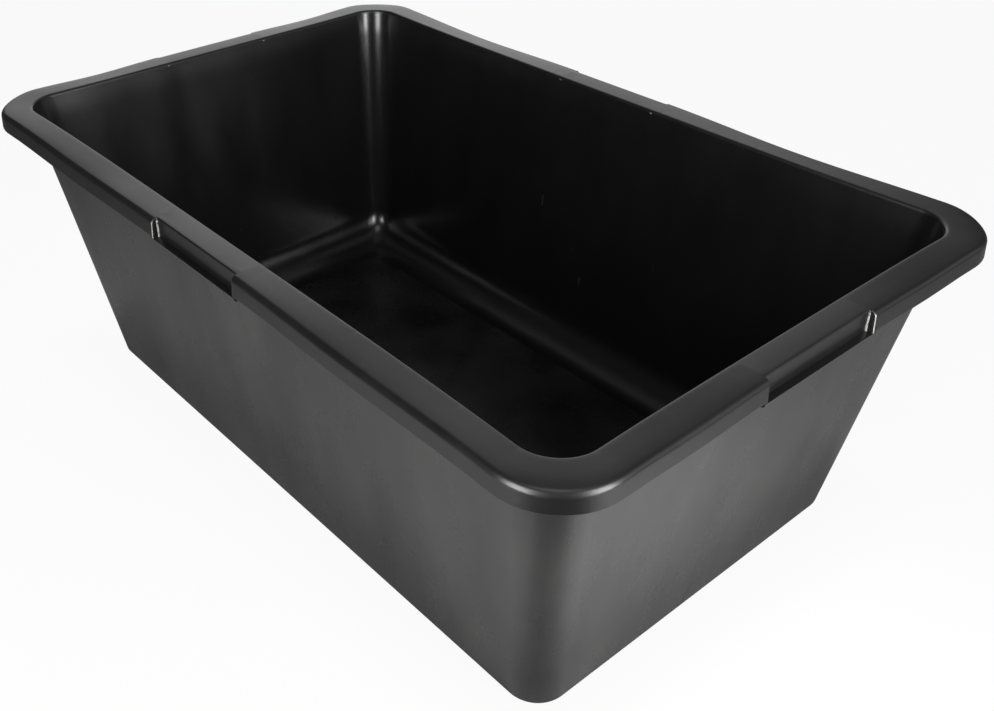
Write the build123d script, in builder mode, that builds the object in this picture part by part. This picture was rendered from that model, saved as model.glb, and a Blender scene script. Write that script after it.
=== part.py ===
from math import atan, cos, hypot, pi, sin
import os

from build123d import *

os.makedirs("parts", exist_ok=True)

# Driving dimensions in millimetres. X runs along the tub, Y across it and Z up.
# The origin is the middle of the base.
LENGTH = 700.0          # over the rim
WIDTH = 442.0           # over the rim
HEIGHT = 249.0          # base to the top of the rim
RIM_RADIUS = 47.5       # corner of the rim, seen from above
FLANGE = 25.5           # mouth to the outer edge of the rim
SKIRT = 15.0            # depth of the turned-down edge, flange included
SKIN = 3.0              # thickness of flange and skirt
RIM_EDGE = 4.5          # rounding of the rim's outer top edge
MOUTH_EDGE = 2.0        # rounding of the mouth's top edge
MOUTH_RADIUS = 29.0     # corner of the mouth, seen from above
WALL = 3.5              # thickness of the walls, measured level
FLOOR = 4.0             # thickness of the floor
BASE_LENGTH = 590.0     # outside, at the base
BASE_WIDTH = 335.0      # outside, at the base
BASE_RADIUS = 25.0      # corner of the base, seen from above
BASE_EDGE = 3.0         # rounding where the walls meet the underside
COVE = 38.0             # inside radius between floor and walls
COVE_STEPS = 8          # narrow strips from floor to wall that make up the cove
TOE_RADIUS = 10.0       # corner of the flat floor, seen from above
GRIP_LENGTH = 105.0     # one hand's breadth, in the middle of each side
GRIP_SETBACK = 4.2      # how far a grip's face stands behind the skirt
GRIP_LEDGE = 3.0        # thickness of the ledge along a grip's foot, all of it below the skirt
LEDGE_EDGE = 2.5        # rounding of the ledge's lower edge, where the fingers pull
RIB = 2.0               # thickness of the ribs under the rim
RIB_DEPTH = 9.0         # how far a rib reaches below the flange
LONG_RIBS = 6           # ribs on each half of a long side
SHORT_RIBS = 3          # ribs on each half of a short side
RIB_FIRST = 62.0        # middle of a side to its first rib
RIB_TO_CORNER = 4.0     # last rib to the start of the rim's corner

# Sizes that follow from them.
MOUTH_LENGTH = LENGTH - 2 * FLANGE
MOUTH_WIDTH = WIDTH - 2 * FLANGE
LONG_LEAN = (MOUTH_LENGTH - BASE_LENGTH + 2 * WALL) / 2 / HEIGHT
WIDE_LEAN = (MOUTH_WIDTH - BASE_WIDTH + 2 * WALL) / 2 / HEIGHT
UNDER_FLANGE = HEIGHT - SKIN
SKIRT_FOOT = HEIGHT - SKIRT
LEDGE_FOOT = SKIRT_FOOT - GRIP_LEDGE
COVE_TOP = FLOOR + COVE
COVE_TURN = pi / 2 - atan(WIDE_LEAN)
COVE_X = BASE_LENGTH / 2 - WALL + LONG_LEAN * COVE_TOP - COVE * hypot(1, LONG_LEAN)
COVE_Y = BASE_WIDTH / 2 - WALL + WIDE_LEAN * COVE_TOP - COVE * hypot(1, WIDE_LEAN)
FLAT_X = COVE_X - 1.5 * TOE_RADIUS
FLAT_Y = COVE_Y - 1.5 * TOE_RADIUS
CORNER_X = LENGTH / 2 - RIM_RADIUS
CORNER_Y = WIDTH / 2 - RIM_RADIUS
GRIP_END = GRIP_LENGTH / 2 + SKIN
FAR = LENGTH

# Outside of the tub as one tapered block, with its small base rounding.
with BuildPart() as outside:
    with BuildSketch():
        RectangleRounded(BASE_LENGTH, BASE_WIDTH, BASE_RADIUS)
    with BuildSketch(Plane.XY.offset(HEIGHT)):
        RectangleRounded(MOUTH_LENGTH + 2 * WALL, MOUTH_WIDTH + 2 * WALL, MOUTH_RADIUS + WALL)
    loft(ruled=True)
    fillet(outside.edges().group_by(Axis.Z)[0], BASE_EDGE)


def cove_section(turn):
    """Level section through the room where the cove's face has turned this far from the floor."""
    level = FLOOR + COVE * (1 - cos(turn))
    out = COVE * sin(turn)
    radius = TOE_RADIUS + (BASE_RADIUS - WALL - TOE_RADIUS) * sin(turn) / sin(COVE_TURN)
    with BuildSketch(Plane.XY.offset(level)) as section:
        RectangleRounded(2 * (COVE_X + out), 2 * (COVE_Y + out), radius)
    return section.sketch


# Room inside the tub: a wide cove all round the floor, and walls above it that lean like the outside.
with BuildSketch(Plane.XY.offset(HEIGHT)) as mouth:
    RectangleRounded(MOUTH_LENGTH, MOUTH_WIDTH, MOUTH_RADIUS)
with BuildPart() as room:
    cove = [cove_section(COVE_TURN * step / COVE_STEPS) for step in range(COVE_STEPS + 1)]
    loft(cove + [mouth.sketch], ruled=True)

# Floor, coves, walls and corners in one skin, up to the underside of the flange.
with BuildPart() as shell:
    add(outside.part)
    add(room.part, mode=Mode.SUBTRACT)
    split(bisect_by=Plane.XY.offset(UNDER_FLANGE), keep=Keep.BOTTOM)

# Flange and skirt all round, before the grips take their places in it.
with BuildPart() as rim:
    with BuildSketch(Plane.XY.offset(SKIRT_FOOT)):
        RectangleRounded(LENGTH, WIDTH, RIM_RADIUS)
    extrude(amount=SKIRT)
    fillet(rim.edges().group_by(Axis.Z)[-1], RIM_EDGE)
    with BuildSketch(Plane.XY.offset(SKIRT_FOOT)):
        RectangleRounded(LENGTH - 2 * SKIN, WIDTH - 2 * SKIN, RIM_RADIUS - SKIN)
    extrude(amount=SKIRT - SKIN, mode=Mode.SUBTRACT)
    add(room.part, mode=Mode.SUBTRACT)
    fillet(rim.faces().group_by(Axis.Z)[-1][0].inner_wires()[0].edges(), MOUTH_EDGE)


def keep(name, piece):
    """Labels a finished piece and writes its STEP file."""
    piece.part.label = name
    export_step(piece.part, f"parts/{name}.step")


def take(name, moulding, low, high):
    """The piece of a moulding that lies between two corners of a box."""
    middle = tuple((a + b) / 2 for a, b in zip(low, high))
    size = [b - a for a, b in zip(low, high)]
    with BuildPart() as piece:
        add(moulding)
        with Locations(middle):
            Box(*size, mode=Mode.INTERSECT)
    keep(name, piece)


# The four sides by name: the way each one faces, how far its rim reaches, how much its wall leans,
# where the rim's corner starts along it, and the ribs on each half of it.
SIDES = {
    "front": ((0, -1, 0), WIDTH / 2, WIDE_LEAN, CORNER_X, LONG_RIBS),
    "back": ((0, 1, 0), WIDTH / 2, WIDE_LEAN, CORNER_X, LONG_RIBS),
    "left": ((-1, 0, 0), LENGTH / 2, LONG_LEAN, CORNER_Y, SHORT_RIBS),
    "right": ((1, 0, 0), LENGTH / 2, LONG_LEAN, CORNER_Y, SHORT_RIBS),
}


def side_box(outward, near, half, low, high):
    """Box on one side: from near outwards, half of it each way along the side, between two levels."""
    if outward[0]:
        ends = sorted((near * outward[0], FAR * outward[0]))
        return (ends[0], -half, low), (ends[1], half, high)
    ends = sorted((near * outward[1], FAR * outward[1]))
    return (-half, ends[0], low), (half, ends[1], high)


def corner_box(sx, sy, near_x, near_y, low, high):
    """Box at one corner: outwards from near_x and near_y, between two levels."""
    xs = sorted((sx * near_x, sx * FAR))
    ys = sorted((sy * near_y, sy * FAR))
    return (xs[0], ys[0], low), (xs[1], ys[1], high)


# Flat floor inside the coves.
take("floor", shell.part, (-FLAT_X, -FLAT_Y, 0), (FLAT_X, FLAT_Y, HEIGHT))

# Coves that carry the floor up into the walls, and the walls above them.
for side, (outward, *_) in SIDES.items():
    near = FLAT_X if outward[0] else FLAT_Y
    half = FLAT_Y if outward[0] else FLAT_X
    take(f"cove_{side}", shell.part, *side_box(outward, near, half, 0, COVE_TOP))
    take(f"wall_{side}", shell.part, *side_box(outward, near, half, COVE_TOP, HEIGHT))

# Rounded corners of cove, wall and rim.
for side_x, sx in (("left", -1), ("right", 1)):
    for side_y, sy in (("front", -1), ("back", 1)):
        place = f"{side_y}_{side_x}"
        take(f"cove_corner_{place}", shell.part, *corner_box(sx, sy, FLAT_X, FLAT_Y, 0, COVE_TOP))
        take(f"wall_corner_{place}", shell.part, *corner_box(sx, sy, FLAT_X, FLAT_Y, COVE_TOP, HEIGHT))
        take(f"rim_corner_{place}", rim.part, *corner_box(sx, sy, CORNER_X, CORNER_Y, 0, HEIGHT))

# Straight lengths of rim on either side of each grip.
for side, (outward, reach, _, corner, _) in SIDES.items():
    names = ("front", "back") if outward[0] else ("left", "right")
    for end, sign in zip(names, (-1, 1)):
        span = sorted((sign * GRIP_END, sign * corner))
        depth = sorted((outward[0] + outward[1]) * far for far in (reach - RIM_RADIUS, FAR))
        xs, ys = (depth, span) if outward[0] else (span, depth)
        take(f"rim_{side}_{end}", rim.part, (xs[0], ys[0], 0), (xs[1], ys[1], HEIGHT))


def along(outward):
    """The way a side runs, for someone who looks at it from outside the tub."""
    return (outward[1], -outward[0], 0)


def grip_section(start, outward, reach, lean, face):
    """Section through a grip whose skirt stands at face.

    Where the face stands behind the rim's edge, a ledge runs out to that edge at the skirt's foot.
    """
    back = reach - GRIP_SETBACK - SKIN
    ledge_top = [(face, SKIRT_FOOT), (reach, SKIRT_FOOT)] if face < reach else []
    with BuildSketch(Plane(start, outward, along(outward))) as section:
        with BuildLine():
            Polyline(
                (reach - FLANGE - lean * SKIN, UNDER_FLANGE),
                (reach - FLANGE, HEIGHT),
                (face, HEIGHT),
                *ledge_top,
                (reach, LEDGE_FOOT),
                (back, LEDGE_FOOT),
                (back, UNDER_FLANGE),
                close=True,
            )
        make_face()
        fillet(section.vertices().group_by(Axis.Y)[-1].sort_by(Axis.X)[-1], RIM_EDGE)
        fillet(section.vertices().group_by(Axis.Y)[-1].sort_by(Axis.X)[0], MOUTH_EDGE)
        fillet(section.vertices().group_by(Axis.Y)[0].sort_by(Axis.X)[-1], LEDGE_EDGE)
    return section.sketch


# Hand grips: the skirt steps back behind a ledge, between two webs that tie it to the skirt on either side.
for side, (outward, reach, lean, *_) in SIDES.items():
    recess = grip_section((0, 0, 0), outward, reach, lean, reach - GRIP_SETBACK)
    with BuildPart() as grip:
        extrude(recess, amount=GRIP_LENGTH / 2, both=True)
        for sign in (-1, 1):
            start = tuple(sign * GRIP_LENGTH / 2 * a for a in along(outward))
            extrude(grip_section(start, outward, reach, lean, reach), amount=sign * SKIN)
    keep(f"grip_{side}", grip)

# Ribs under the flange, from the wall to the skirt.
for side, (outward, reach, _, corner, ribs) in SIDES.items():
    pitch = (corner - RIB_TO_CORNER - RIB_FIRST) / (ribs - 1)
    places = [sign * (RIB_FIRST + pitch * n) for n in range(ribs) for sign in (-1, 1)]
    middle = reach - SKIN - FLANGE / 2
    level = UNDER_FLANGE - RIB_DEPTH / 2
    with BuildPart() as rib_row:
        for place in places:
            spot = [middle * o + place * a for o, a in zip(outward, along(outward))]
            with Locations((spot[0], spot[1], level)):
                Box(FLANGE if outward[0] else RIB, RIB if outward[0] else FLANGE, RIB_DEPTH)
        add(outside.part, mode=Mode.SUBTRACT)
    keep(f"rim_ribs_{side}", rib_row)
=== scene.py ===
import math

import bmesh
import bpy
from mathutils import Matrix, Vector


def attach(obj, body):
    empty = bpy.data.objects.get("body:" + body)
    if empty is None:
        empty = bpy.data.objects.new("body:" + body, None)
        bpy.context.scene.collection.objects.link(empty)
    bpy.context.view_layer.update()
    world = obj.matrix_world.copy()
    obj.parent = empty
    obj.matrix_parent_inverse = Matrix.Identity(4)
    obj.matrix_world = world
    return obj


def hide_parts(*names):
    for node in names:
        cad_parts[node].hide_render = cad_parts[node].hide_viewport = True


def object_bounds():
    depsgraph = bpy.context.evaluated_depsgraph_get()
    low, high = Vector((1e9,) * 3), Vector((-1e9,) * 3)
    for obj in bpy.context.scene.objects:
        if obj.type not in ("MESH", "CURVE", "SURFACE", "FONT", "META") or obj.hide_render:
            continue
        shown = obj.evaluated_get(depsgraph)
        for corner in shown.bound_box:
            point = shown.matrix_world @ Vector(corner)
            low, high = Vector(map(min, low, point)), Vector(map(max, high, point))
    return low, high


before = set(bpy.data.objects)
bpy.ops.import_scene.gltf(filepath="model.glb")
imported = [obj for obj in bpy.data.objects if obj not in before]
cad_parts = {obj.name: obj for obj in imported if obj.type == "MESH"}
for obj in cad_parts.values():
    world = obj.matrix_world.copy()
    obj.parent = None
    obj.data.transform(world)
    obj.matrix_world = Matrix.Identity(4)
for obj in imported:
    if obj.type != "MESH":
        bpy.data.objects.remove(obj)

cad_low, cad_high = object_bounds()

# Floor, walls and coves: one skin of black polyethylene, moulded in one shot over a core.
# The walls lean out so that the tub leaves its mould, and a cove carries the floor up into them.
LENGTH, WIDTH, HEIGHT = cad_high - cad_low
FLANGE = 0.0255             # mouth to the outer edge of the rim
FLANGE_SKIN = 0.003         # thickness of flange and skirt
UNDER_FLANGE = HEIGHT - FLANGE_SKIN
WALL = 0.0035               # measured level
FLOOR = 0.004
BASE = Vector((0.295, 0.1675))
MOUTH = Vector((LENGTH / 2 - FLANGE, WIDTH / 2 - FLANGE))
BASE_RADIUS = 0.025
MOUTH_RADIUS = 0.029
BASE_EDGE = 0.003           # rounding where the walls meet the underside
COVE = 0.038                # inside radius between floor and walls
TOE_RADIUS = 0.010          # corner of the flat floor, seen from above
TOE = 0.006                 # strip beside each rounding
CROWN = 0.0003              # the base stands on its edge and the floor swells a little
BAND_FOOT = 0.2325          # above this level the inside flares a little more
BAND_FLARE = 0.0008
WALL_LEVELS = [0.06, 0.10, 0.14, 0.18, 0.21, 0.225]
CORNER_STEPS = 14
ROUNDING_STEPS = 6
LONG_CUTS, SHORT_CUTS = 27, 17
SHARP = math.radians(38)
BOW = Vector((0.0014, 0.0030))      # how far the middle of the short and long sides pulls in at the mouth
BOW_IN, BOW_ALONG, BOW_DOWN = 6, 4, 1.3     # powers by which it dies away inwards, to the corners and downwards
SAG = Vector((0.0014, 0.0025))      # how far the outer edge of the rim hangs between grip and corner
DROOP, SOFT = 0.0006, 0.0014        # how far the flange slopes down at the corners, and more at its very edge
DROOP_POWER, SOFT_POWER = 1.3, 7
DROOP_START = 0.4                   # share of the way out to the edge where the slope begins
GRIP_END = 0.0555                   # middle of a side to the end of its grip
CORNER_START = Vector((0.3025, 0.1735))
CORNER_REACH = LENGTH / 2 - CORNER_START.x
SKIRT_FOOT = 0.234                  # lowest level of the rim that turns down outside the wall


def rounded_loop(bm, half, radius, level):
    """Level rectangle with rounded corners as one face, cut along its sides so that they can bow."""
    others = set(bm.faces)
    place = Matrix.LocRotScale((0, 0, level), None, (half.x, half.y, 1))
    corners = bmesh.ops.create_grid(bm, x_segments=1, y_segments=1, size=1, matrix=place)["verts"]
    bmesh.ops.bevel(bm, geom=corners, offset=radius, offset_type="OFFSET", segments=CORNER_STEPS,
                    profile=0.5, affect="VERTICES", material=-1)
    face, = set(bm.faces) - others
    for edge in [e for e in face.edges if e.calc_length() > half.y]:
        level_with_x = abs(edge.verts[0].co.x - edge.verts[1].co.x) > half.y
        bmesh.ops.subdivide_edges(bm, edges=[edge], cuts=LONG_CUTS if level_with_x else SHORT_CUTS)
    face, = set(bm.faces) - others
    return face


def skin(bm, faces, closed):
    """Bridges a row of loops into a skin: a closed row runs round to its start, an open one keeps its ends."""
    loops = [list(face.edges) for face in faces]
    if closed:
        loops.append(loops[0])
    bmesh.ops.delete(bm, geom=faces if closed else faces[1:-1], context="FACES_ONLY")
    for lower, upper in zip(loops, loops[1:]):
        bmesh.ops.bridge_loops(bm, edges=lower + upper)


def hump(along, first, last):
    """Rises from 0 at first to 1 half way and back to 0 at last, on either side of the middle."""
    share = (abs(along) - first) / (last - first)
    return math.sin(math.pi * share) ** 2 if 0 < share < 1 else 0.0


def settle(bm):
    """Pulls the sides in and lets the rim hang at corners and between grips, as when the moulding cooled."""
    for vert in bm.verts:
        place = vert.co.copy()
        height = min(max(place.z / HEIGHT, 0), 1)
        wall = BASE + (MOUTH - BASE) * height
        for across, along in ((1, 0), (0, 1)):
            side = min(abs(place[across]) / wall[across], 1) ** BOW_IN
            middle = max(1 - (place[along] / CORNER_START[along]) ** BOW_ALONG, 0)
            bow = BOW[across] * middle * height ** BOW_DOWN
            vert.co[across] -= math.copysign(side * bow, place[across])
            overhang = max(abs(place[across]) - MOUTH[across], 0) / FLANGE
            vert.co.z -= SAG[across] * overhang * hump(place[along], GRIP_END, CORNER_START[along])
        past = Vector([max(abs(place[n]) - CORNER_START[n], 0) for n in (0, 1)])
        overhang = max(past.length / CORNER_REACH - DROOP_START, 0) / (1 - DROOP_START)
        if overhang and place.z > SKIRT_FOOT:
            diagonal = (2 * past.x * past.y / past.length_squared) ** 2
            rise = (place.z - SKIRT_FOOT) / (HEIGHT - SKIRT_FOOT)
            vert.co.z -= diagonal * rise * (DROOP * overhang ** DROOP_POWER + SOFT * overhang ** SOFT_POWER)


def piece(name, bm, material, *nodes):
    """Finishes a mesh as one piece of the tub that stands for these CAD nodes."""
    settle(bm)
    bmesh.ops.recalc_face_normals(bm, faces=bm.faces)
    for face in bm.faces:
        face.smooth = True
    mesh = bpy.data.meshes.new(name)
    bm.to_mesh(mesh)
    bm.free()
    mesh.set_sharp_from_angle(angle=SHARP)
    mesh.materials.append(material)
    made = bpy.data.objects.new(name, mesh)
    bpy.context.collection.objects.link(made)
    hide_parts(*nodes)
    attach(made, "root")


def fit(tree, kind, feeds, **settings):
    """Adds a shader node, sets it up and feeds each input from a value or from another node's output."""
    node = tree.nodes.new("ShaderNode" + kind)
    for name, value in settings.items():
        setattr(node, name, value)
    for socket, value in feeds.items():
        if isinstance(value, bpy.types.NodeSocket):
            tree.links.new(value, node.inputs[socket])
        else:
            node.inputs[socket].default_value = value
    return node


def maths(tree, operation, *values):
    """Output of a math node that works on these values."""
    return fit(tree, "Math", dict(enumerate(values)), operation=operation).outputs[0]


def ramp(tree, value, start, end, low=0, high=1, kind="LINEAR"):
    """Output that runs from low to high while a value runs from start to end."""
    feeds = {0: value, 1: start, 2: end, 3: low, 4: high}
    return fit(tree, "MapRange", feeds, interpolation_type=kind).outputs[0]


def reach_along(tree, vector, way):
    """Output that says how far a vector reaches along a way."""
    return fit(tree, "VectorMath", {0: vector, 1: way}, operation="DOT_PRODUCT").outputs["Value"]


def noise(tree, place, scale, detail, roughness=0.5):
    """Output of a soft random cloud."""
    feeds = {"Vector": place, "Scale": scale, "Detail": detail, "Roughness": roughness}
    return fit(tree, "TexNoise", feeds).outputs[0]


def turned(tree, place, rotation, scale):
    """Coordinates that are turned and then drawn out, to give a texture a direction."""
    return fit(tree, "Mapping", {"Vector": place, "Rotation": rotation, "Scale": scale}).outputs[0]


def blend(tree, share, first, second):
    """Output of a mix of two colours."""
    return fit(tree, "Mix", {0: share, 6: first, 7: second}, data_type="RGBA").outputs[2]


def effect(name, inputs, outputs):
    """Starts a shader node group and returns its tree, what comes in and what goes out."""
    tree = bpy.data.node_groups.new(name, "ShaderNodeTree")
    for way, sockets in (("INPUT", inputs), ("OUTPUT", outputs)):
        for socket, kind in sockets.items():
            tree.interface.new_socket(socket, in_out=way, socket_type="NodeSocket" + kind)
    return tree, tree.nodes.new("NodeGroupInput").outputs, tree.nodes.new("NodeGroupOutput").inputs


# The skin as it leaves the mould: a fine grain, slow waves where the plastic shrank, and a cloudy mottle.
CLOUD_SWELL = 0.12          # height of the clouds, as a share of the waves
moulded_skin, given, gives = effect(
    "moulded_skin",
    {"Coordinates": "Vector", "Grain": "Float", "Wave": "Float"},
    {"Height": "Float", "Mottle": "Float"})
grain = noise(moulded_skin, given["Coordinates"], scale=700, detail=2)
drawn = turned(moulded_skin, given["Coordinates"], (0.3, 0.2, 0), (1, 1, 0.35))
wave = noise(moulded_skin, drawn, scale=13, detail=1)
cloud = noise(moulded_skin, drawn, scale=26, detail=4, roughness=0.6)
uneven = maths(moulded_skin, "MULTIPLY_ADD", cloud, CLOUD_SWELL, wave)
swell = maths(moulded_skin, "MULTIPLY", uneven, given["Wave"])
height = maths(moulded_skin, "MULTIPLY_ADD", grain, given["Grain"], swell)
moulded_skin.links.new(height, gives["Height"])
moulded_skin.links.new(cloud, gives["Mottle"])

# Wear from the site: small specks where grit has hit the skin, and fine scratches that keep to a few patches.
SPECK_CELLS = 70            # cells to the metre, of which a share holds a speck
SPECK_SMALL, SPECK_LARGE = 0.02, 0.06
SCRATCH_MOST = 0.15
site_wear, given, gives = effect(
    "site_wear", {"Coordinates": "Vector", "Specks": "Float"}, {"Scuff": "Float"})
cells = fit(site_wear, "TexVoronoi", {"Vector": given["Coordinates"], "Scale": SPECK_CELLS}).outputs
lot = fit(site_wear, "SeparateColor", {0: cells["Color"]}).outputs
chosen = maths(site_wear, "LESS_THAN", lot[0], given["Specks"])
size = ramp(site_wear, lot[1], 0, 1, SPECK_SMALL, SPECK_LARGE)
within = maths(site_wear, "LESS_THAN", cells["Distance"], size)
speck = maths(site_wear, "MULTIPLY", chosen, within)
slant = turned(site_wear, given["Coordinates"], (0.5, 0.35, 0.2), (1, 1, 0.025))
line = ramp(site_wear, noise(site_wear, slant, scale=420, detail=1), 0.70, 0.78)
gate = ramp(site_wear, noise(site_wear, given["Coordinates"], scale=9, detail=1), 0.60, 0.72, high=SCRATCH_MOST)
scratch = maths(site_wear, "MULTIPLY", line, gate)
site_wear.links.new(maths(site_wear, "MAXIMUM", speck, scratch), gives["Scuff"])

DEEP_BLACK, GREY_BLACK = (0.0026, 0.0026, 0.0027, 1), (0.0062, 0.0062, 0.0064, 1)
SCUFFED = (0.11, 0.106, 0.096, 1)
POLYETHYLENE_IOR = 1.48
GLOSS_SPREAD = 0.025        # how far the mottle takes the roughness down and up
SCUFF_ROUGH = 0.25          # how much rougher a scuff is


def moulded_black(name, grain, wave, specks, rough):
    """Black polyethylene as moulded: heights of its grain and waves, share of cells with a speck, roughness."""
    made = bpy.data.materials.new(name)
    made.use_nodes = True
    tree = made.node_tree
    surface = tree.nodes["Principled BSDF"].inputs
    surface["IOR"].default_value = POLYETHYLENE_IOR
    place = fit(tree, "TexCoord", {}).outputs["Object"]
    feeds = {"Coordinates": place, "Grain": grain, "Wave": wave}
    moulded = fit(tree, "Group", feeds, node_tree=moulded_skin).outputs
    feeds = {"Coordinates": place, "Specks": specks}
    scuff = fit(tree, "Group", feeds, node_tree=site_wear, name="wear").outputs["Scuff"]
    black = blend(tree, moulded["Mottle"], DEEP_BLACK, GREY_BLACK)
    gloss = ramp(tree, moulded["Mottle"], 0.3, 0.7, rough - GLOSS_SPREAD, rough + GLOSS_SPREAD)
    bump = fit(tree, "Bump", {"Height": moulded["Height"], "Distance": 1.0})
    tree.links.new(blend(tree, scuff, black, SCUFFED), surface["Base Color"])
    tree.links.new(maths(tree, "MULTIPLY_ADD", scuff, SCUFF_ROUGH, gloss), surface["Roughness"])
    tree.links.new(bump.outputs[0], surface["Normal"])
    return made


wall_black = moulded_black("wall_black", grain=0.000003, wave=0.0012, specks=0, rough=0.28)

# A thin film of cement dust lies in soft upright patches on the outside of the walls
# and in one patch high up inside the left end. Grit has left its specks low down on the outside.
# The inside came off a polished core and is smoother.
DUST, DUST_MOST = (0.06, 0.059, 0.056, 1), 0.22
DUSTY_PATCH = {"X": (-0.22, -0.30), "Y": (0.10, -0.06), "Z": (0.08, 0.17)}  # where it starts and is full
SPECKS_END, SPECKS_MOST = 0.20, 0.09        # level above which there are none, share of cells at the foot
POLISH = 0.04
tree = wall_black.node_tree
surface = tree.nodes["Principled BSDF"].inputs
space = tree.nodes["Texture Coordinate"].outputs
upright = turned(tree, space["Object"], (0.25, 0.2, 0), (1, 1, 0.4))
film = ramp(tree, noise(tree, upright, scale=17, detail=3), 0.35, 0.75, high=DUST_MOST)
level = fit(tree, "VectorMath", {0: space["Object"], 1: (1, 1, 0)}, operation="MULTIPLY").outputs[0]
outside = maths(tree, "GREATER_THAN", reach_along(tree, space["Normal"], level), 0)
way = fit(tree, "SeparateXYZ", {0: space["Object"]}).outputs
patch = 1
for axis, (start, full) in DUSTY_PATCH.items():
    patch = maths(tree, "MULTIPLY", ramp(tree, way[axis], start, full, kind="SMOOTHSTEP"), patch)
film = maths(tree, "MULTIPLY", film, maths(tree, "MAXIMUM", outside, patch))
low_down = ramp(tree, way["Z"], SPECKS_END, 0, high=SPECKS_MOST)
tree.links.new(maths(tree, "MULTIPLY", low_down, outside), tree.nodes["wear"].inputs["Specks"])
polish = ramp(tree, outside, 0, 1, POLISH, 0)
rough = surface["Roughness"].links[0].from_socket
tree.links.new(maths(tree, "SUBTRACT", rough, polish), surface["Roughness"])
black = surface["Base Color"].links[0].from_socket
tree.links.new(blend(tree, film, black, DUST), surface["Base Color"])


def outside_at(level):
    """Half length and half width over the walls."""
    return BASE + (MOUTH + Vector((WALL, WALL)) - BASE) * level / HEIGHT


def inside_at(level):
    """Half length and half width of the room between the walls."""
    return outside_at(level) - Vector((WALL, WALL))


def corner_at(level):
    """Corner radius of the room, seen from above."""
    low = BASE_RADIUS - WALL
    return low + (MOUTH_RADIUS - low) * (level - FLOOR) / (HEIGHT - FLOOR)


def round_off(bm, line_at, radius, foot, steps, wall_corner, toe_corner):
    """Loops of a rounding between a level face at foot and a leaning wall above it, from the face upwards."""
    lean = line_at(1) - line_at(0)
    top = math.pi / 2 - math.atan(lean.y)
    centre = Vector([line_at(foot + radius)[n] - radius * math.hypot(1, lean[n]) for n in (0, 1)])
    loops = []
    for step in range(steps + 1):
        turn = top * step / steps
        level = foot + radius * (1 - math.cos(turn))
        out = math.sin(turn) / math.sin(top)
        half = centre + Vector((1, 1)) * radius * math.sin(turn)
        loops.append(rounded_loop(bm, half, toe_corner + (wall_corner - toe_corner) * out, level))
    return loops


bm = bmesh.new()
rings = []
base_half = outside_at(BASE_EDGE) - Vector((1, 1)) * (BASE_EDGE + TOE)
rings.append(rounded_loop(bm, base_half, BASE_RADIUS - BASE_EDGE - TOE, CROWN))
rings += round_off(bm, outside_at, BASE_EDGE, 0, ROUNDING_STEPS, BASE_RADIUS, BASE_RADIUS - BASE_EDGE)
for level in WALL_LEVELS + [UNDER_FLANGE - CROWN]:
    rings.append(rounded_loop(bm, outside_at(level), corner_at(level) + WALL, level))
flare = Vector((BAND_FLARE, BAND_FLARE))
for level in (UNDER_FLANGE, (UNDER_FLANGE + BAND_FOOT) / 2, BAND_FOOT):
    share = (UNDER_FLANGE - level) / (UNDER_FLANGE - BAND_FOOT)
    rings.append(rounded_loop(bm, inside_at(level) - flare * share, corner_at(level), level))
for level in reversed(WALL_LEVELS):
    rings.append(rounded_loop(bm, inside_at(level) - flare * level / BAND_FOOT, corner_at(level), level))
cove_loops = round_off(bm, inside_at, COVE, FLOOR, 3 * ROUNDING_STEPS, BASE_RADIUS - WALL, TOE_RADIUS)
rings += reversed(cove_loops)
floor_half = inside_at(FLOOR) - Vector((1, 1)) * (COVE + TOE)
rings.append(rounded_loop(bm, floor_half, TOE_RADIUS - TOE / 2, FLOOR + CROWN))
skin(bm, rings, closed=False)
corners = ["front_left", "front_right", "back_left", "back_right"]
sides = ["front", "right", "back", "left"]
shell_nodes = ["floor"] + [f"{form}_{side}" for form in ("cove", "wall") for side in sides]
shell_nodes += [f"{form}_corner_{corner}" for form in ("cove", "wall") for corner in corners]
piece("tub_shell", bm, wall_black, *shell_nodes)

# Rim: the same moulding turned outwards round the mouth and down again, an open channel that stiffens
# the edge. The skirt leans in a little towards the top, so that the mould lets go of it.
RIM_RADIUS = 0.0475
RIM_EDGE = 0.0043           # rounding of the outer top edge
MOUTH_EDGE = 0.002          # rounding of the mouth's top edge
MOUTH_FALL = 0.0002         # from the middle of the flange to the mouth
MOUTH_STRIP = 0.002         # strip beside the mouth's rounding
STRIP_FALL = 0.8            # share of the fall that is left at the end of that strip
FLANGE_DROP = 0.0002        # how far the flange has sunk where the outer rounding starts
EDGE_TILT = math.radians(3) # tilt of the flange there
SKIRT_LEAN = 0.085          # inwards for each unit of height
FOOT_EDGE = 0.0009          # rounding of the skirt's foot
FOOT_STEPS = 4
FOOT_RISE = FOOT_EDGE / 9   # how much higher the foot is on the inside
UNDER_EDGE = 0.0012         # fillet where the skirt meets the flange underneath
FILLET_MIDDLE = 0.3         # share of the fillet's size at its middle
SUPPORT = 0.0008            # strip that keeps a flat face flat beside a rounding


def rim_loop(bm, inset, level):
    """Loop round the rim at a distance from its outer edge."""
    half = Vector((LENGTH / 2 - inset, WIDTH / 2 - inset))
    return rounded_loop(bm, half, RIM_RADIUS - (RIM_RADIUS - MOUTH_RADIUS) * inset / FLANGE, level)


def skirt_at(level):
    """Distance from the rim's outer edge to the outer face of the skirt."""
    return SKIRT_LEAN * (level - SKIRT_FOOT)


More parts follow.
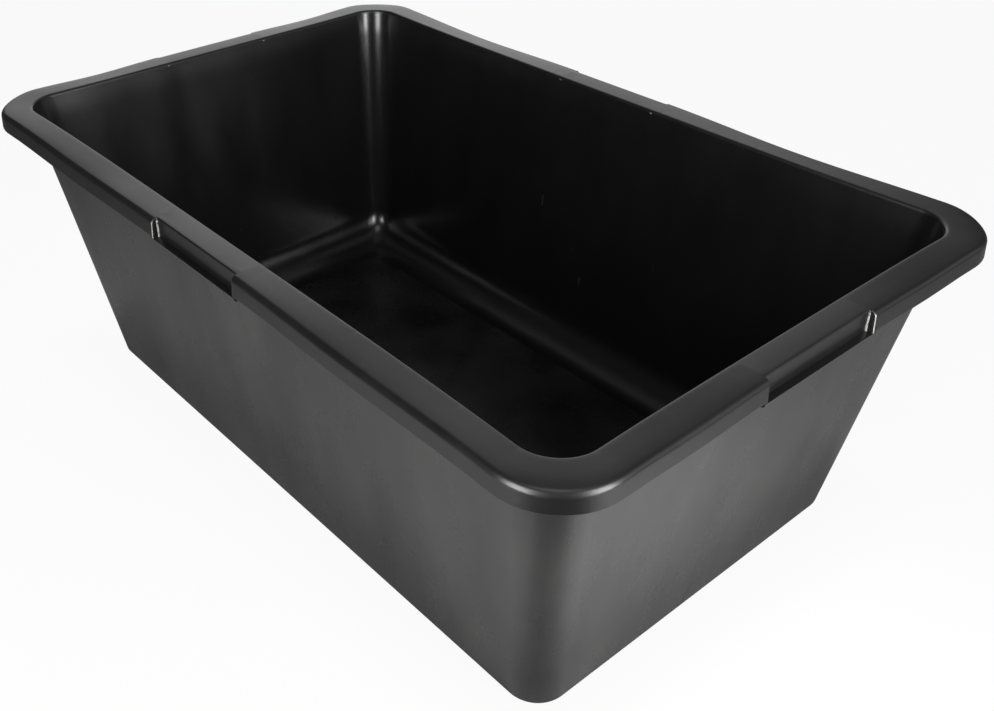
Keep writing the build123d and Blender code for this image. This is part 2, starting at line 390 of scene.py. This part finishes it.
def rim_top():
    """Inset and level along the rim's section: up the mouth, over the flange and down the skirt."""
    lean = (MOUTH.y + WALL - BASE.y) / HEIGHT
    yield FLANGE + lean * FLANGE_SKIN, UNDER_FLANGE
    for step in range(ROUNDING_STEPS + 1):
        turn = math.pi / 2 * step / ROUNDING_STEPS
        level = HEIGHT - MOUTH_FALL - MOUTH_EDGE * (1 - math.sin(turn))
        yield FLANGE + lean * (HEIGHT - level) - MOUTH_EDGE * (1 - math.cos(turn)), level
    yield FLANGE - MOUTH_EDGE - MOUTH_STRIP, HEIGHT - MOUTH_FALL * STRIP_FALL
    last = math.pi / 2 - math.atan(SKIRT_LEAN)
    middle = HEIGHT - FLANGE_DROP - RIM_EDGE * math.cos(EDGE_TILT)
    inwards = skirt_at(middle + RIM_EDGE * math.cos(last)) + RIM_EDGE * math.sin(last)
    crown = 2 * FLANGE_DROP / math.tan(EDGE_TILT)
    for share in (0, 0.35, 0.7):
        inset = inwards - RIM_EDGE * math.sin(EDGE_TILT) + crown * (1 - share)
        yield inset, HEIGHT - FLANGE_DROP * share ** 2
    for step in range(2 * ROUNDING_STEPS + 1):
        turn = EDGE_TILT + (last - EDGE_TILT) * step / ROUNDING_STEPS / 2
        yield inwards - RIM_EDGE * math.sin(turn), middle + RIM_EDGE * math.cos(turn)
    for level in (middle + RIM_EDGE * math.cos(last) - SUPPORT, SKIRT_FOOT + FOOT_EDGE + SUPPORT):
        yield skirt_at(level), level


def rim_section():
    """Inset and level round the whole section of the rim: its top, the skirt's foot and the underside."""
    yield from rim_top()
    for step in range(FOOT_STEPS + 1):
        turn = math.pi / 2 * step / FOOT_STEPS
        level = SKIRT_FOOT + FOOT_EDGE * (1 - math.sin(turn))
        yield skirt_at(SKIRT_FOOT + FOOT_EDGE) + FOOT_EDGE * (1 - math.cos(turn)), level
    yield FLANGE_SKIN - FOOT_EDGE, SKIRT_FOOT + FOOT_RISE
    yield FLANGE_SKIN, SKIRT_FOOT + FOOT_EDGE
    yield FLANGE_SKIN, UNDER_FLANGE - UNDER_EDGE
    yield FLANGE_SKIN + UNDER_EDGE * FILLET_MIDDLE, UNDER_FLANGE - UNDER_EDGE * FILLET_MIDDLE
    yield FLANGE_SKIN + UNDER_EDGE, UNDER_FLANGE
    yield FLANGE + (MOUTH.y + WALL - BASE.y) / HEIGHT * FLANGE_SKIN - WALL, UNDER_FLANGE - CROWN


# Sink marks: beside the mouth the flange dips a little over each rib below it, where the plastic is thickest.
RIB_FIRST = 0.062           # middle of a side to its first rib
RIB_TO_CORNER = 0.004       # last rib to the start of the rim's corner
LONG_RIBS, SHORT_RIBS = 6, 3
SINK_WIDTH, SINK_REACH, SINK_DEPTH = 0.0035, 0.013, 0.00007
rim_black = moulded_black("rim_black", grain=0.000008, wave=0.0006, specks=0.04, rough=0.32)
tree = rim_black.node_tree
bump = tree.nodes["Bump"].inputs["Height"]
height = bump.links[0].from_socket
way = fit(tree, "SeparateXYZ", {0: tree.nodes["Texture Coordinate"].outputs["Object"]}).outputs
for across, along, count in ((1, 0, LONG_RIBS), (0, 1, SHORT_RIBS)):
    last = CORNER_START[along] - RIB_TO_CORNER
    spacing = (last - RIB_FIRST) / (count - 1)
    from_middle = maths(tree, "ABSOLUTE", way[along])
    off_rib = maths(tree, "PINGPONG", maths(tree, "SUBTRACT", from_middle, RIB_FIRST), spacing / 2)
    over_rib = ramp(tree, off_rib, 0, SINK_WIDTH, SINK_DEPTH, 0, kind="SMOOTHSTEP")
    beside = maths(tree, "ADD", maths(tree, "ABSOLUTE", way[across]), BOW[across] - MOUTH[across])
    near_mouth = ramp(tree, beside, 0, SINK_REACH, 1, 0)
    on_side = maths(tree, "LESS_THAN", from_middle, last + SINK_WIDTH)
    on_flange = maths(tree, "GREATER_THAN", beside, 0)
    for mask in (near_mouth, on_side, on_flange):
        over_rib = maths(tree, "MULTIPLY", over_rib, mask)
    height = maths(tree, "SUBTRACT", height, over_rib)
tree.links.new(height, bump)

for corner in corners:
    end, side = corner.split("_")
    sx = -1 if side == "left" else 1
    sy = -1 if end == "front" else 1
    bm = bmesh.new()
    skin(bm, [rim_loop(bm, inset, level) for inset, level in rim_section()], closed=True)
    for cut, inward in (((sx * GRIP_END, 0, 0), (-sx, 0, 0)), ((0, sy * GRIP_END, 0), (0, -sy, 0))):
        bmesh.ops.bisect_plane(bm, geom=bm.verts[:] + bm.edges[:] + bm.faces[:], plane_co=cut,
                               plane_no=inward, clear_outer=True)
    bmesh.ops.holes_fill(bm, edges=[e for e in bm.edges if e.is_boundary], sides=0)
    rim_nodes = [f"rim_corner_{corner}", f"rim_{end}_{side}", f"rim_{side}_{end}"]
    piece(f"turned_rim_{corner}", bm, rim_black, *rim_nodes)

# Hand grips: in the middle of each side the skirt steps back behind the rim's edge, open above,
# and a ledge at its foot gives the fingers a rounded edge to pull on. Webs close the two ends.
GRIP_HALF = 0.0525
GRIP_SETBACK = 0.0042
GRIP_LEDGE = 0.003          # thickness, all of it below the skirt
LEDGE_FOOT = SKIRT_FOOT - GRIP_LEDGE
LEDGE_EDGE = 0.0025         # rounding of the ledge's lower edge
LEDGE_LIP = 0.00005
WEB_EDGE = 0.0009           # rounding of the web's upright edges
WEB_STEPS = 4
RECESS_EDGE = 0.28          # size of the top edge's rounding in the recess, as a share of the rim's
RECESS_UPRIGHT = 0.001      # how much more its foot is set back, so that the recess stands upright
RECESS_TOP = 0.001          # strip of flange between the mouth's rounding and what is set back
GRIP_CUTS = 9
grip_black = moulded_black("grip_black", grain=0.000008, wave=0.0003, specks=0.03, rough=0.32)

# Painted highlight: the rounded upright edges of the webs are painted pale at the far ends,
# as the glint of the soft boxes on them.
PAINTED_GLINT = (0.24, 0.235, 0.225, 1)
GLINT_START = 0.0002       # from the middle of the edge
tree = grip_black.node_tree
colour = tree.nodes["Principled BSDF"].inputs["Base Color"]
place = tree.nodes["Texture Coordinate"].outputs["Object"]
way = fit(tree, "SeparateXYZ", {0: place}).outputs
off_middle = [maths(tree, "ABSOLUTE", way[axis]) for axis in ("X", "Y")]
along = maths(tree, "MINIMUM", *off_middle)
off_web = maths(tree, "ABSOLUTE", maths(tree, "SUBTRACT", along, GRIP_HALF))
glint = ramp(tree, noise(tree, place, scale=500, detail=2), 0.25, 0.5)
far_end = maths(tree, "MAXIMUM", maths(tree, "MULTIPLY", way["X"], -1), way["Y"])
for value, low, high in (
    (off_web, GLINT_START, WEB_EDGE),
    (way["Z"], SKIRT_FOOT, HEIGHT - RIM_EDGE / 2),
    (far_end, 0, LENGTH),
):
    for mask in (maths(tree, "GREATER_THAN", value, low), maths(tree, "LESS_THAN", value, high)):
        glint = maths(tree, "MULTIPLY", glint, mask)
black = colour.links[0].from_socket
# Painted highlight on the webs' edges, mixed into the black.
tree.links.new(blend(tree, glint, black, PAINTED_GLINT), colour)


def grip_loop(bm, reach, along):
    """Section through the web at the end of a grip, as one face across the front."""
    back = GRIP_SETBACK + FLANGE_SKIN
    lip = [(0, SKIRT_FOOT), (0, SKIRT_FOOT - LEDGE_LIP)]
    ledge = [(0, LEDGE_FOOT), (back, LEDGE_FOOT), (back, UNDER_FLANGE)]
    verts = [bm.verts.new((along, inset - reach, level)) for inset, level in [*rim_top(), *lip, *ledge]]
    bm.faces.new(verts)
    ledge_corner = verts[-len(ledge)]
    bmesh.ops.bevel(bm, geom=[ledge_corner], offset=LEDGE_EDGE, offset_type="OFFSET", segments=ROUNDING_STEPS,
                    profile=0.5, affect="VERTICES", material=-1)
    return list(bm.edges)


def web_steps():
    """Moves along and into the rim from a web's face: round its edge, back, and out of the recess's corner."""
    turns = [math.pi / 2 * n / WEB_STEPS for n in range(WEB_STEPS + 1)]
    edge = [(WEB_EDGE * math.sin(t), WEB_EDGE * (1 - math.cos(t))) for t in turns]
    for (a, b), (c, d) in zip(edge, edge[1:]):
        yield c - a, d - b
    yield 0, GRIP_SETBACK - 2 * WEB_EDGE
    for (a, b), (c, d) in zip(edge[::-1], edge[-2::-1]):
        yield b - d, a - c


for turns, side in enumerate(sides):
    reach = WIDTH / 2 if side in ("front", "back") else LENGTH / 2
    bm = bmesh.new()
    edges = grip_loop(bm, reach, -GRIP_END)
    web = list(web_steps())
    web_face = GRIP_END - GRIP_HALF - WEB_EDGE
    step = 2 * (GRIP_HALF - WEB_EDGE) / GRIP_CUTS
    moves = [(web_face, 0)] + web + [(step, 0)] * GRIP_CUTS
    moves += [(a, -b) for a, b in web[::-1]] + [(web_face, 0)]
    face_line = FLANGE - MOUTH_EDGE - RECESS_TOP - reach
    depth, share = 0, 1
    for along, setback in moves:
        grown = bmesh.ops.extrude_edge_only(bm, edges=edges)["geom"]
        verts = [g for g in grown if isinstance(g, bmesh.types.BMVert)]
        edges = [g for g in grown if isinstance(g, bmesh.types.BMEdge)]
        bmesh.ops.translate(bm, verts=verts, vec=(along, 0, 0))
        outer = [v for v in verts if v.co.y < face_line and v.co.z > SKIRT_FOOT - LEDGE_LIP / 2]
        upper = [v for v in outer if v.co.z > (SKIRT_FOOT + HEIGHT) / 2 - SUPPORT]
        lower = [v for v in outer if v not in upper]
        bmesh.ops.translate(bm, verts=upper, vec=(0, setback, 0))
        bmesh.ops.translate(bm, verts=lower, vec=(0, setback * (1 + RECESS_UPRIGHT / GRIP_SETBACK), 0))
        depth += setback
        now = 1 - (1 - RECESS_EDGE) * depth / GRIP_SETBACK
        crest = Matrix.Translation((0, reach - skirt_at(HEIGHT) - depth, -HEIGHT))
        bmesh.ops.scale(bm, verts=upper, vec=(1, now / share, now / share), space=crest)
        share = now
    bmesh.ops.edgeloop_fill(bm, edges=edges)
    bmesh.ops.remove_doubles(bm, verts=bm.verts, dist=1e-6)
    bmesh.ops.rotate(bm, verts=bm.verts, cent=(0, 0, 0), matrix=Matrix.Rotation(turns * math.pi / 2, 3, "Z"))
    piece(f"hand_grip_{side}", bm, grip_black, f"grip_{side}")

# Ribs under the flange: thin upright webs of the same moulding that tie the skirt to the wall.
# They keep the rim from twisting when the full tub is lifted by it.
RIB = 0.002
RIB_DEPTH = 0.009
RIB_INTO_WALL = 0.0006

for turns, side in enumerate(sides):
    long_side = side in ("front", "back")
    reach = WIDTH / 2 if long_side else LENGTH / 2
    last = CORNER_START[0 if long_side else 1] - RIB_TO_CORNER
    count = LONG_RIBS if long_side else SHORT_RIBS
    level = UNDER_FLANGE - RIB_DEPTH / 2
    width = reach - FLANGE_SKIN - outside_at(level)[1 if long_side else 0] + RIB_INTO_WALL
    bm = bmesh.new()
    for n in range(count):
        for sign in (-1, 1):
            along = sign * (RIB_FIRST + (last - RIB_FIRST) * n / (count - 1))
            spot = (along, FLANGE_SKIN + width / 2 - reach, level)
            bmesh.ops.create_cube(bm, size=1, matrix=Matrix.LocRotScale(spot, None, (RIB, width, RIB_DEPTH)))
    bmesh.ops.rotate(bm, verts=bm.verts, cent=(0, 0, 0), matrix=Matrix.Rotation(turns * math.pi / 2, 3, "Z"))
    piece(f"under_ribs_{side}", bm, grip_black, f"rim_ribs_{side}")

# Studio floor: a plain white sheet under the tub, with painted shade in its colour at the tub's foot, where the
# light runs out and in a wedge in front of the camera.
# Seen directly most of it shows as white card; the rest takes light, so that the tub keeps a soft shadow.
FLOOR_SIZE = 12.0
CARD_SEEN = 0.94            # share of plain white in what the camera sees of the sheet
CARD_MIRRORED = 0.04        # share of plain white in what the tub mirrors of it
SHEET_WHITE = 0.68
SHADE_REACH, SHADE = 0.085, 0.38    # how far the painted shade of the leaning walls reaches, what is left at their foot
PAINTED_FADES = (             # painted fall-off of the light: way from the middle of the tub, where a fade starts and ends, what is left
    ((-0.899, -0.438, 0), 0.38, 0.85, 0.45),
    ((0, -1, 0), 0.15, 0.26, 0.69),
    ((0, 1, 0), -0.02, 0.30, 0.50),
)
CAMERA_WAY = (0.772, -0.636, 0)     # painted shadow: the sheet is dark in the camera's shade, a wedge from the near corner
WEDGE_TIP = (0.27, -0.145, 0)
WEDGE_EDGE, WEDGE_FULL = 0.62, 0.96     # how near to that way a place must lie to be shaded, and fully so
WEDGE_START, WEDGE_END, WEDGE_DARK = 0.25, 0.60, 0.96   # where its shade starts and is full, and how deep it is
bm = bmesh.new()
bmesh.ops.create_grid(bm, x_segments=1, y_segments=1, size=FLOOR_SIZE / 2)
mesh = bpy.data.meshes.new("studio_floor")
bm.to_mesh(mesh)
bm.free()
studio_floor = bpy.data.objects.new("studio_floor", mesh)
bpy.context.collection.objects.link(studio_floor)
card = bpy.data.materials.new("white_card")
card.use_nodes = True
tree = card.node_tree
tree.nodes.clear()
place = fit(tree, "TexCoord", {}).outputs["Object"]
way = fit(tree, "SeparateXYZ", {0: place}).outputs
from_foot = [maths(tree, "SUBTRACT", maths(tree, "ABSOLUTE", way[axis]), BASE[axis]) for axis in (0, 1)]
out = maths(tree, "MAXIMUM", *from_foot)
# The sheet's colour: painted shade at the tub's foot, painted fades where the light runs out, and the painted
# camera shadow.
sheet = ramp(tree, out, 0, SHADE_REACH, SHADE * SHEET_WHITE, SHEET_WHITE, kind="SMOOTHSTEP")
for way, start, end, left in PAINTED_FADES:
    fade = ramp(tree, reach_along(tree, place, way), start, end, 1, left, kind="SMOOTHSTEP")
    sheet = maths(tree, "MULTIPLY", fade, sheet)
far = reach_along(tree, place, CAMERA_WAY)
painted_camera_shadow = ramp(tree, far, WEDGE_START, WEDGE_END, high=WEDGE_DARK, kind="SMOOTHSTEP")
from_tip = fit(tree, "VectorMath", {0: place, 1: WEDGE_TIP}, operation="SUBTRACT").outputs[0]
aim = fit(tree, "VectorMath", {0: from_tip}, operation="NORMALIZE").outputs[0]
wedge = ramp(tree, reach_along(tree, aim, CAMERA_WAY), WEDGE_EDGE, WEDGE_FULL, kind="SMOOTHSTEP")
light = maths(tree, "SUBTRACT", 1, maths(tree, "MULTIPLY", painted_camera_shadow, wedge))
diffuse = fit(tree, "BsdfDiffuse", {"Color": maths(tree, "MULTIPLY", sheet, light)}).outputs[0]
glow = fit(tree, "Emission", {}).outputs[0]
ray = fit(tree, "LightPath", {}).outputs
share = maths(tree, "MULTIPLY", ray["Is Glossy Ray"], CARD_MIRRORED)
for seen in ("Is Camera Ray", "Is Transmission Ray"):
    share = maths(tree, "MULTIPLY_ADD", ray[seen], CARD_SEEN, share)
fit(tree, "OutputMaterial", {"Surface": fit(tree, "MixShader", {0: share, 1: diffuse, 2: glow}).outputs[0]})
studio_floor.data.materials.append(card)

# Studio light: two tall soft boxes that stand on either side of the camera and a small lamp overhead,
# in a dark room with a lit backdrop behind the tub.
NEAR_CORNER = Vector((0.33, -0.20, 0))
BOX_FOOT = 0.1              # floor to the lower edge of a soft box


def tall_box(name, azimuth, distance, width, height, radiance):
    """Upright area lamp that faces the near corner from a direction given in degrees."""
    lamp = bpy.data.lights.new(name, "AREA")
    lamp.shape = "RECTANGLE"
    lamp.size = width
    lamp.size_y = height
    lamp.energy = radiance * math.pi * width * height
    turn = math.radians(azimuth)
    away = Vector((math.sin(turn), -math.cos(turn), 0))
    box = bpy.data.objects.new(name, lamp)
    box.location = NEAR_CORNER + away * distance + Vector((0, 0, height / 2 + BOX_FOOT))
    box.rotation_euler = away.to_track_quat("Z", "Y").to_euler()
    bpy.context.collection.objects.link(box)


tall_box("left_soft_box", azimuth=2, distance=0.8, width=0.40, height=0.98, radiance=15.5)
tall_box("right_soft_box", azimuth=100, distance=0.8, width=0.37, height=0.98, radiance=19)
OVERHEAD_SIZE, OVERHEAD_RADIANCE = 0.8, 2.2
lamp = bpy.data.lights.new("overhead_lamp", "AREA")
lamp.shape = "DISK"
lamp.size = OVERHEAD_SIZE
lamp.energy = OVERHEAD_RADIANCE * math.pi * math.pi * (OVERHEAD_SIZE / 2) ** 2
overhead = bpy.data.objects.new("overhead_lamp", lamp)
overhead.location = NEAR_CORNER + Vector((0.24, -0.20, 2.0))
bpy.context.collection.objects.link(overhead)

ROOM_DARK = 0.10
ROOM_LIT = (                # way to a lit place, how directly one must face it to see its light, its level
    ((-0.778, 0.565, 0.276), 0.848, 1.7),       # backdrop
    ((0.727, 0.654, 0.208), 0.848, 0.9),        # wall on the right
    ((-0.235, 0.407, 0.883), 0.707, 0.38),      # ceiling
)
world = bpy.data.worlds.new("studio_room")
world.use_nodes = True
tree = world.node_tree
tree.nodes.clear()
way = fit(tree, "TexCoord", {}).outputs["Generated"]
light = ROOM_DARK
for facing, edge, level in ROOM_LIT:
    lit = ramp(tree, reach_along(tree, way, facing), edge, 1, high=level)
    light = maths(tree, "ADD", lit, light)
seen = fit(tree, "LightPath", {}).outputs["Is Camera Ray"]
strength = maths(tree, "MAXIMUM", seen, light)
fit(tree, "OutputWorld", {"Surface": fit(tree, "Background", {"Strength": strength}).outputs[0]})
bpy.context.scene.world = world

# Camera: where the photograph was taken from, a little above the near corner of the tub.
AZIMUTH, ELEVATION, ROLL = math.radians(50.49), math.radians(36.03), math.radians(-1.04)
CAMERA_TARGET = Vector((-0.00772, -0.00274, 0.03070))
CAMERA_DISTANCE = 0.97252
eye = CAMERA_TARGET + CAMERA_DISTANCE * Vector((
    math.sin(AZIMUTH) * math.cos(ELEVATION), -math.cos(AZIMUTH) * math.cos(ELEVATION), math.sin(ELEVATION)))
lens = bpy.data.cameras.new("photo_camera")
lens.sensor_fit = "HORIZONTAL"
lens.sensor_width = 36
lens.lens = 39.32
lens.shift_x = 0.0674
lens.shift_y = 0.0249
camera = bpy.data.objects.new("photo_camera", lens)
camera.matrix_world = (Matrix.Translation(eye) @ Matrix.Rotation(AZIMUTH, 4, "Z")
                       @ Matrix.Rotation(math.pi / 2 - ELEVATION, 4, "X") @ Matrix.Rotation(ROLL, 4, "Z"))
bpy.context.collection.objects.link(camera)
bpy.context.scene.camera = camera
bpy.context.scene.view_settings.view_transform = "Standard"
